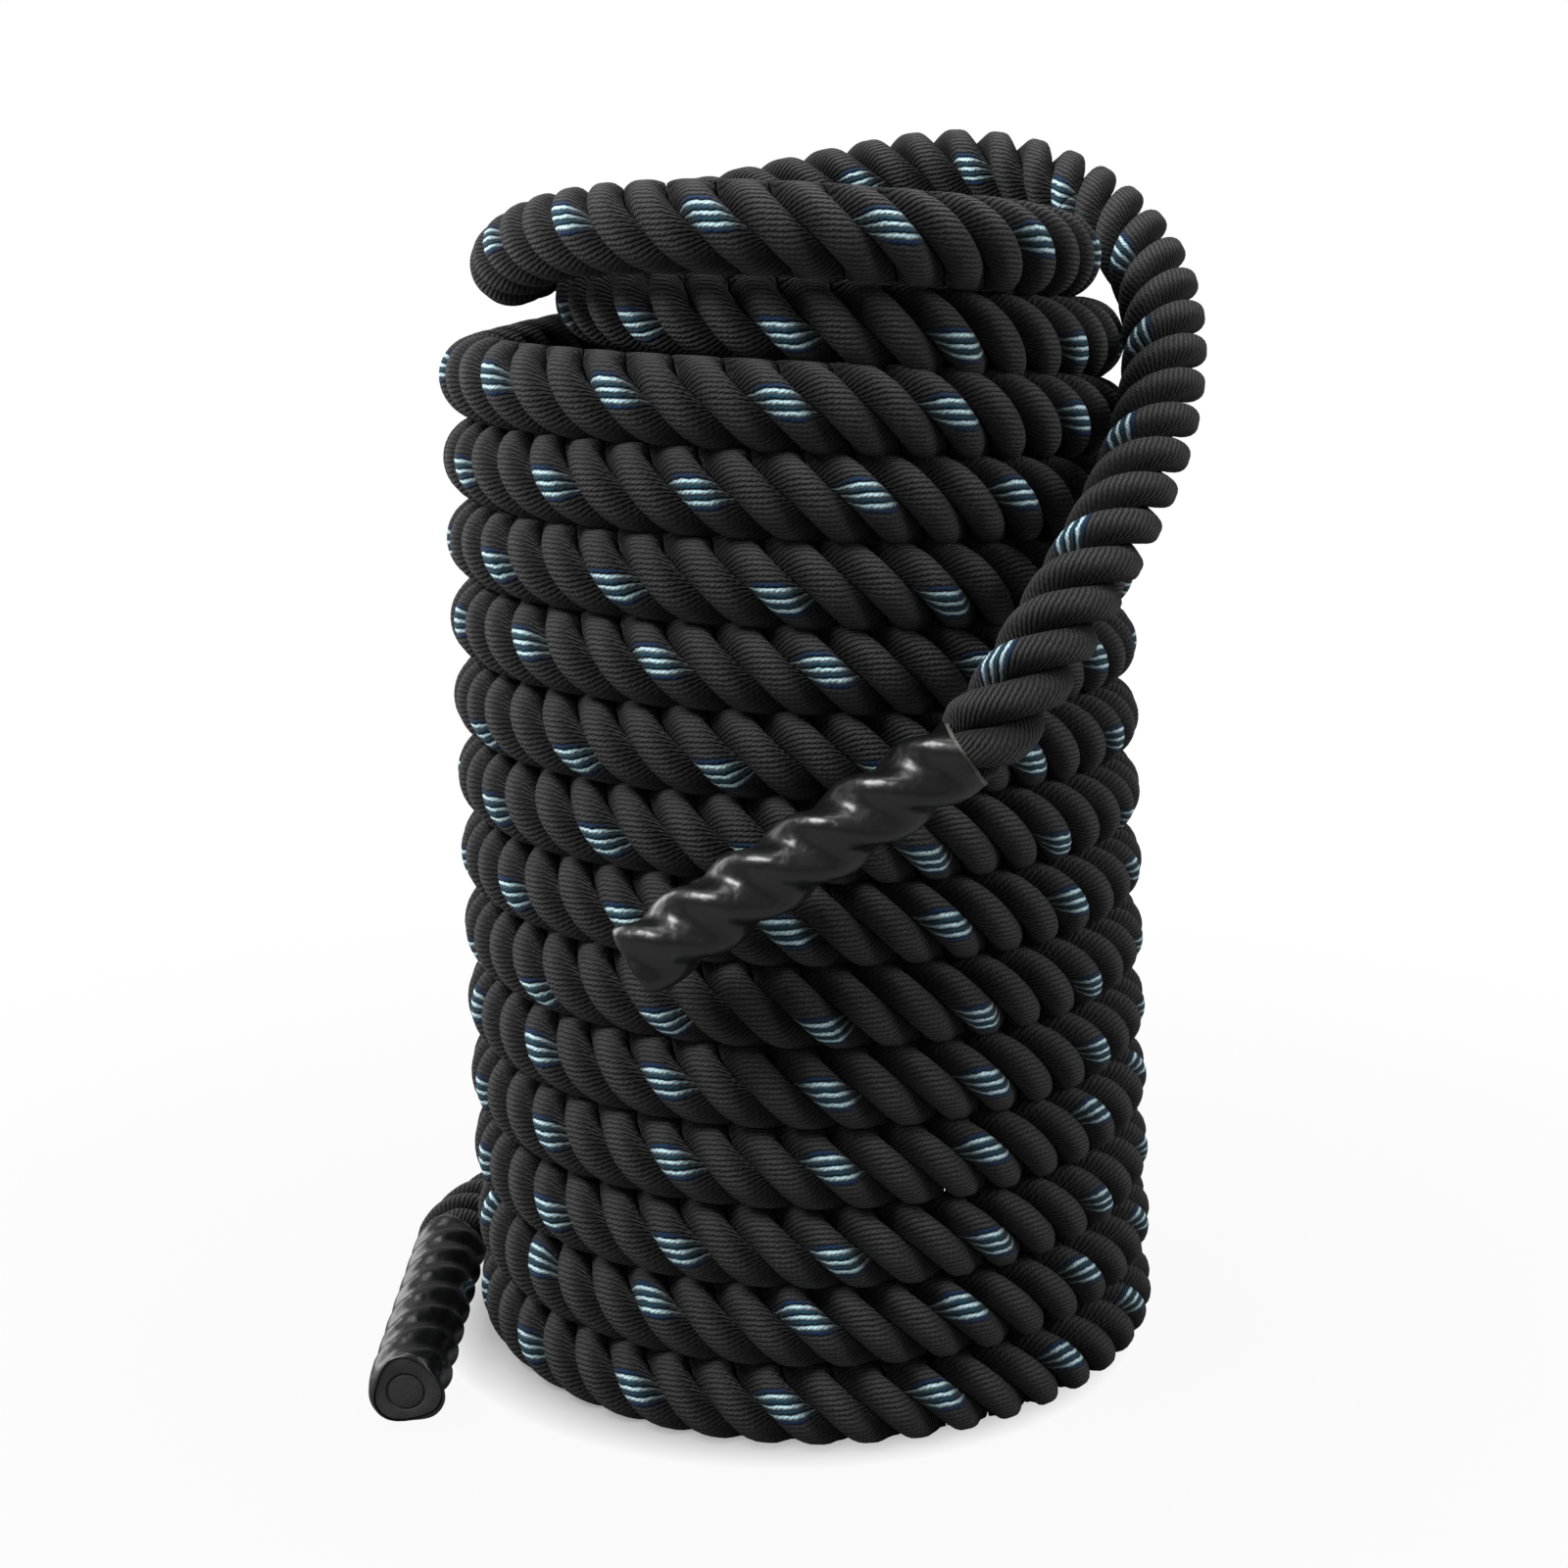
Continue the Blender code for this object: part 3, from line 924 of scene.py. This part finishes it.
class ROPE_OT_lower_tail(bpy.types.Operator):
    """Lay up the strands of the short tail that turns off the coil along the floor"""

    bl_idname = "rope.lower_tail"
    bl_label = "Lower tail"

    def execute(self, context):
        length = the_route().length
        start, end = length - LOWER_TAIL_TO, length - STRANDS_FROM
        squeeze = squeeze_at(lambda s: length - s)
        route, made = lay_strands("lower_tail", start, end, LOOSE_STEP, LOOSE_SIDES, squeeze)
        at = length - LOWER_HINGE_AT
        bend = route.at(np.array([at - LOWER_BEND, at + LOWER_BEND]), route.line)
        for i, piece in enumerate(made, 1):
            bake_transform(piece)
            declare(route, start, end)
            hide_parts(f"lower_strand_end_{i}")
        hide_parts("lower_tail")
        return {"FINISHED"}


# Grips


def only(obj):
    """Makes this the one selected object."""
    bpy.ops.object.select_all(action="DESELECT")
    obj.select_set(True)
    bpy.context.view_layer.objects.active = obj


def pick(obj, wanted, kind="VERT"):
    """Selects, in edit mode, the vertices or edges for which wanted(points) is true."""
    bpy.ops.mesh.select_mode(type=kind)
    bpy.ops.mesh.select_all(action="DESELECT")
    bpy.ops.object.mode_set(mode="OBJECT")
    points = obj.data.vertices
    if kind == "VERT":
        for vertex in points:
            vertex.select = wanted(vertex.co)
    else:
        for edge in obj.data.edges:
            edge.select = wanted(*(points[i].co for i in edge.vertices))
    bpy.ops.object.mode_set(mode="EDIT")


def modify(obj, kind, **values):
    modifier = obj.modifiers.new(kind.title(), kind)
    for name, value in values.items():
        setattr(modifier, name, value)
    bpy.ops.object.modifier_apply(modifier=modifier.name)


def press_valleys(obj, radius, depth):
    """Presses three valleys into an upright cylinder's side, and leaves it in edit mode."""
    bpy.ops.object.mode_set(mode="EDIT")
    for i in range(3):
        a = math.radians(60 + 120 * i)
        inward = Vector((-math.cos(a), -math.sin(a), 0)) * depth
        pick(obj, lambda point: point.xy.length > 0 and point.xy.angle(-inward.xy) < 0.01)
        bpy.ops.transform.translate(
            value=inward,
            use_proportional_edit=True,
            proportional_edit_falloff="SMOOTH",
            proportional_size=radius * 1.02,
        )


def lobed_tube(name, radius, depth, bottom, top, lay, wall, cuts, opening=None):
    """An upright tube that follows three strands laid up inside it, with the mouth at z = 0.

    With an opening, its top is drawn in to that share of its radius.
    """
    bpy.ops.object.select_all(action="DESELECT")
    bpy.ops.mesh.primitive_cylinder_add(
        vertices=96,
        radius=radius,
        depth=top - bottom,
        end_fill_type="NOTHING",
        location=(0, 0, (bottom + top) / 2),
    )
    obj = bpy.context.object
    obj.name = obj.data.name = name
    bpy.ops.object.transform_apply(location=True, rotation=False, scale=False)
    press_valleys(obj, radius, depth)
    if opening is not None:
        close_end(obj, top, opening)
    pick(obj, lambda a, b: abs(a.z - b.z) > (top - bottom) * 0.6, "EDGE")
    bpy.ops.mesh.subdivide(number_cuts=cuts)
    bpy.ops.object.mode_set(mode="OBJECT")
    twist(obj, lay)
    modify(obj, "SOLIDIFY", thickness=wall, offset=-1.0)
    return obj


def close_end(obj, top, opening):
    """Draws the top ring in over the rope's end in steps, as the film shrinks."""
    pick(obj, lambda point: point.z > top - 1e-4)
    size, height = 1.0, 0.0
    rounded = [(0.99, 0.0010), (0.97, 0.0019), (0.945, 0.0026), (0.92, 0.0030)]
    for size_share, rise in (*rounded, (opening, 0.0030)):
        bpy.ops.mesh.extrude_region_move()
        step = size_share / size
        bpy.ops.transform.resize(value=(step, step, 1), center_override=(0, 0, top))
        bpy.ops.transform.translate(value=(0, 0, rise - height))
        size, height = size_share, rise


def twist(obj, lay):
    """Turns each level of the tube by its height, as the strands turn."""
    heights = [point.co.z for point in obj.data.vertices]
    turn = 2 * math.pi * (max(heights) - min(heights)) / lay
    modify(obj, "SIMPLE_DEFORM", deform_method="TWIST", deform_axis="Z", angle=turn)


def roughen(obj, size, strength, seed):
    texture = bpy.data.textures.new(f"{obj.name}_creases", "CLOUDS")
    texture.noise_scale = size
    texture.noise_depth = 2
    place = bpy.data.objects.new("creases", None)
    place.location = (seed, 0, 0)
    bpy.context.scene.collection.objects.link(place)
    bpy.context.view_layer.update()
    modify(
        obj,
        "DISPLACE",
        texture=texture,
        strength=strength,
        texture_coords="OBJECT",
        texture_coords_object=place,
    )
    bpy.data.objects.remove(place)


def lobe_angle(obj, near):
    """The angle of the lobe closest to a height, from 0 to 120 degrees."""
    around = [p.co for p in obj.data.vertices if abs(p.co.z - near) < 0.0006]
    tip = max(around, key=lambda point: point.xy.length)
    return math.atan2(tip.y, tip.x)


def stand(obj, grip, turned):
    """Puts a finished upright piece on its grip, with a lobe at z = 0 at the given angle."""
    only(obj)
    obj.matrix_world = grip @ Matrix.Rotation(turned, 4, "Z")
    bpy.ops.object.transform_apply(location=True, rotation=True, scale=True)
    bpy.ops.object.mode_set(mode="EDIT")
    bpy.ops.mesh.select_all(action="SELECT")
    bpy.ops.mesh.normals_make_consistent(inside=False)
    bpy.ops.object.mode_set(mode="OBJECT")
    bpy.ops.object.shade_smooth_by_angle(angle=math.radians(50))


def grip_place(end_name):
    """The grip's matrix, the strands' angle at its mouth, and their lay.

    In the grip's own space its mouth is at the origin and its end is up.
    """
    route = the_route()
    _, grips, _ = settings()
    if end_name == "upper":
        mouth, end = GRIP_LENGTH, 0.0
    else:
        mouth, end = route.length - GRIP_LENGTH, route.length
    ends = route.at(np.array([mouth, end]), route.line)
    axis = (ends[1] - ends[0]) / np.linalg.norm(ends[1] - ends[0])
    _, side, up, laid = route.frame(np.array([mouth]))
    x = side[0] - axis * (side[0] @ axis)
    x /= np.linalg.norm(x)
    y = np.cross(axis, x)
    matrix = Matrix([[x[i], y[i], axis[i], ends[0][i]] for i in range(3)] + [[0, 0, 0, 1]])
    if end_name == "upper":
        return matrix, -laid[0], grips.upper_lay
    return matrix, laid[0], grips.lower_lay


def finish_grip_piece(obj, end_name, what, material, turned, matrix):
    stand(obj, matrix, turned)
    obj.data.materials.append(material)
    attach(obj, f"{end_name}_end")
    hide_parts(f"{end_name}_{what}")


def shared(name, maker, *values):
    """The material of this name, made the first time."""
    return bpy.data.materials.get(name) or maker(name, *values)


def film_material(name, grips):
    material, tree = new_material(name)
    where = node(tree, "ShaderNodeTexCoord")("Object")
    smudges = noise(tree, where, 55.0, 4.0)
    creases = noise(tree, where, 130.0, 1.5)
    specks = noise(tree, where, 2400.0, 1.0)
    worn = (smudges - 0.45).clamped()
    color = shaded(tree, (*grips.film, 1.0), worn * 0.25 + 0.85)
    finish_material(
        tree,
        {"Specular IOR Level": 0.55, "Coat Weight": 0.35, "Coat Roughness": 0.26},
        {
            "Base Color": color,
            "Roughness": worn * 0.4 + specks * 0.04 + 0.30,
            "Normal": bump(tree, creases + specks * 0.01, 0.0012),
        },
    )
    return material


def rubber_material(name):
    material, tree = new_material(name)
    where = node(tree, "ShaderNodeTexCoord")("Object")
    grain = noise(tree, where, 1300.0, 3.0)
    scuffs = noise(tree, where, 150.0, 4.0)
    finish_material(
        tree,
        {"Specular IOR Level": 0.35},
        {
            "Base Color": grey_of(tree, scuffs * 0.045 + 0.018),
            "Roughness": scuffs * 0.2 + 0.55,
            "Normal": bump(tree, grain + scuffs * 0.6, 0.0003),
        },
    )
    return material


def tape_material(name):
    material, tree = new_material(name)
    where = node(tree, "ShaderNodeTexCoord")("Object")
    split = node(tree, "ShaderNodeSeparateXYZ", None, {0: where})
    threads = split(0).math("ADD", split(1)).waves(900.0) * split(2).waves(900.0)
    color = grey_of(tree, threads * 0.02 + 0.01)
    links = {"Base Color": color, "Normal": bump(tree, threads, 0.0002)}
    finish_material(tree, {"Roughness": 0.8}, links)
    return material


def glue_material(name):
    material, tree = new_material(name)
    where = node(tree, "ShaderNodeTexCoord")("Object")
    cloud = noise(tree, where, 420.0, 3.0)
    finish_material(
        tree,
        {"Transmission Weight": 0.35, "IOR": 1.45},
        {
            "Base Color": grey_of(tree, cloud * 0.30 + 0.02, 0.97),
            "Roughness": cloud * 0.3 + 0.3,
            "Normal": bump(tree, cloud, 0.0004),
        },
    )
    return material


class ROPE_OT_sleeves(bpy.types.Operator):
    """Shrink a glossy film sleeve over the strands of each grip, with its end drawn in"""

    bl_idname = "rope.sleeves"
    bl_label = "Sleeves"

    def execute(self, context):
        _, grips, _ = settings()
        material = shared("shrink_film", film_material, grips)
        for end_name, radius, depth in ribs(grips):
            matrix, turned, lay = grip_place(end_name)
            name = f"{end_name}_sleeve_film"
            hole = opening_of(end_name)
            obj = lobed_tube(name, radius, depth, 0.0, FILM_TOP, lay, grips.wall, 110, hole)
            angle = lobe_angle(obj, 0.0)
            roughen(obj, 0.012, 0.0008, 0.4 if end_name == "upper" else 0.9)
            finish_grip_piece(
                obj, end_name, "grip_sleeve", material, turned - angle, matrix
            )
        return {"FINISHED"}


class ROPE_OT_whippings(bpy.types.Operator):
    """Wrap each rope end in a band of tape, under the sleeve"""

    bl_idname = "rope.whippings"
    bl_label = "Whippings"

    def execute(self, context):
        _, grips, _ = settings()
        material = shared("whipping_cloth", tape_material)
        for end_name, radius, depth in ribs(grips):
            matrix, turned, lay = grip_place(end_name)
            name = f"{end_name}_whipping_tape"
            top = GRIP_LENGTH - 0.0070
            bottom = top - 0.022
            outer = radius - grips.wall - 0.0005
            obj = lobed_tube(name, outer, depth, bottom, top, lay, 0.0006, 16)
            ahead = 2 * math.pi * bottom / lay - lobe_angle(obj, bottom)
            finish_grip_piece(
                obj, end_name, "whipping", material, turned + ahead, matrix
            )
        return {"FINISHED"}


class ROPE_OT_glue(bpy.types.Operator):
    """Leave a thin ragged bead of glue in the mouth of each sleeve"""

    bl_idname = "rope.glue"
    bl_label = "Glue beads"

    def execute(self, context):
        _, grips, _ = settings()
        material = shared("dried_glue", glue_material)
        for end_name, radius, depth in ribs(grips):
            matrix, turned, lay = grip_place(end_name)
            name = f"{end_name}_glue_rim"
            obj = lobed_tube(name, radius - 0.0002, depth, -0.0016, -0.0001, lay, 0.0009, 2)
            angle = lobe_angle(obj, -0.0016)
            only(obj)
            bpy.ops.object.mode_set(mode="EDIT")
            pick(obj, lambda point: point.z < -0.0009)
            bpy.ops.transform.vertex_random(offset=0.0007, seed=3 if end_name == "upper" else 5)
            bpy.ops.object.mode_set(mode="OBJECT")
            finish_grip_piece(
                obj, end_name, "glue_bead", material, turned - angle, matrix
            )
        return {"FINISHED"}


class ROPE_OT_plugs(bpy.types.Operator):
    """Close each rope end with a rubber plug whose face shows in the sleeve's drawn-in end"""

    bl_idname = "rope.plugs"
    bl_label = "End plugs"

    def execute(self, context):
        _, grips, _ = settings()
        material = shared("plug_rubber_compound", rubber_material)
        for end_name, radius, depth in ribs(grips):
            matrix, turned, lay = grip_place(end_name)
            turned += 2 * math.pi * GRIP_LENGTH / lay
            obj = end_plug(f"{end_name}_rubber_plug", end_name, radius, depth)
            finish_grip_piece(obj, end_name, "end_plug", material, turned, matrix)
        return {"FINISHED"}


def opening_of(end_name):
    return UPPER_OPENING if end_name == "upper" else LOWER_OPENING


def ribs(grips):
    return (
        ("upper", grips.upper_radius, grips.upper_depth),
        ("lower", grips.lower_radius, grips.lower_depth),
    )


def end_plug(name, end_name, radius, depth):
    """A flange under the film, and a face with a ring groove that fills the film's opening."""
    under, face = GRIP_LENGTH - 0.0060, GRIP_LENGTH - 0.0006
    flange = 0.93 * radius - 0.0016
    bpy.ops.object.select_all(action="DESELECT")
    bpy.ops.mesh.primitive_cylinder_add(
        vertices=96,
        radius=flange,
        depth=FILM_TOP - under,
        location=(0, 0, (under + FILM_TOP) / 2),
    )
    obj = bpy.context.object
    obj.name = obj.data.name = name
    bpy.ops.object.transform_apply(location=True, rotation=False, scale=False)
    press_valleys(obj, flange, depth * flange / radius)
    bpy.ops.mesh.select_mode(type="FACE")
    bpy.ops.mesh.select_all(action="DESELECT")
    bpy.ops.object.mode_set(mode="OBJECT")
    for polygon in obj.data.polygons:
        polygon.select = polygon.normal.z > 0.9
    bpy.ops.object.mode_set(mode="EDIT")
    rim = opening_of(end_name) * radius - 0.0004
    for outward, rise in ((rim, 0.0), (rim, face - FILM_TOP - 0.0002), (rim - 0.0003, 0.0002)):
        extrude_to(obj, outward, rise)
    ring = 0.0103 if end_name == "lower" else 0.0080
    extrude_to(obj, ring, 0.0)
    bpy.ops.transform.tosphere(value=1.0)
    groove = [(ring - 0.0003, -0.0012), (ring - 0.0012, 0.0), (ring - 0.0015, 0.0010)]
    for outward, rise in (*groove, (0.0040, 0.0001)):
        extrude_to(obj, outward, rise)
    bpy.ops.object.mode_set(mode="OBJECT")
    modify(obj, "BEVEL", width=0.0002, segments=2, limit_method="ANGLE")
    return obj


def extrude_to(obj, radius, rise):
    """Extrudes the selected disc, and brings its lobes to a radius and up by a rise."""
    bpy.ops.mesh.extrude_region_move()
    bpy.ops.object.mode_set(mode="OBJECT")
    now = max(p.co.xy.length for p in obj.data.vertices if p.select)
    bpy.ops.object.mode_set(mode="EDIT")
    bpy.ops.transform.resize(value=(radius / now, radius / now, 1), center_override=(0, 0, 0))
    bpy.ops.transform.translate(value=(0, 0, rise))


class ROPE_PT_panel(bpy.types.Panel):
    """Buttons for the rope's pieces, in the sidebar"""

    bl_label = "Training Rope"
    bl_idname = "ROPE_PT_panel"
    bl_space_type = "VIEW_3D"
    bl_region_type = "UI"
    bl_category = "Rope"

    def draw(self, context):
        for operator in OPERATORS:
            self.layout.operator(operator.bl_idname)
        for group in settings():
            for name in group.__annotations__:
                self.layout.prop(group, name)


GROUPS = {
    "rope_settings": RopeSettings,
    "grip_settings": GripSettings,
    "stage_settings": StageSettings,
}
OPERATORS = (
    ROPE_OT_stage,
    ROPE_OT_coil,
    ROPE_OT_loose_turns,
    ROPE_OT_upper_tail,
    ROPE_OT_lower_tail,
    ROPE_OT_sleeves,
    ROPE_OT_whippings,
    ROPE_OT_glue,
    ROPE_OT_plugs,
)
CLASSES = (*GROUPS.values(), *OPERATORS, ROPE_PT_panel)


def register():
    for cls in CLASSES:
        bpy.utils.register_class(cls)
    for name, cls in GROUPS.items():
        setattr(bpy.types.Scene, name, PointerProperty(type=cls))


def unregister():
    for name in GROUPS:
        delattr(bpy.types.Scene, name)
    for cls in reversed(CLASSES):
        bpy.utils.unregister_class(cls)


def main():
    register()
    bpy.ops.rope.stage()
    bpy.ops.rope.coil()
    bpy.ops.rope.loose_turns()
    bpy.ops.rope.upper_tail()
    bpy.ops.rope.lower_tail()
    bpy.ops.rope.sleeves()
    bpy.ops.rope.whippings()
    bpy.ops.rope.glue()
    bpy.ops.rope.plugs()


if __name__ == "__main__":
    main()
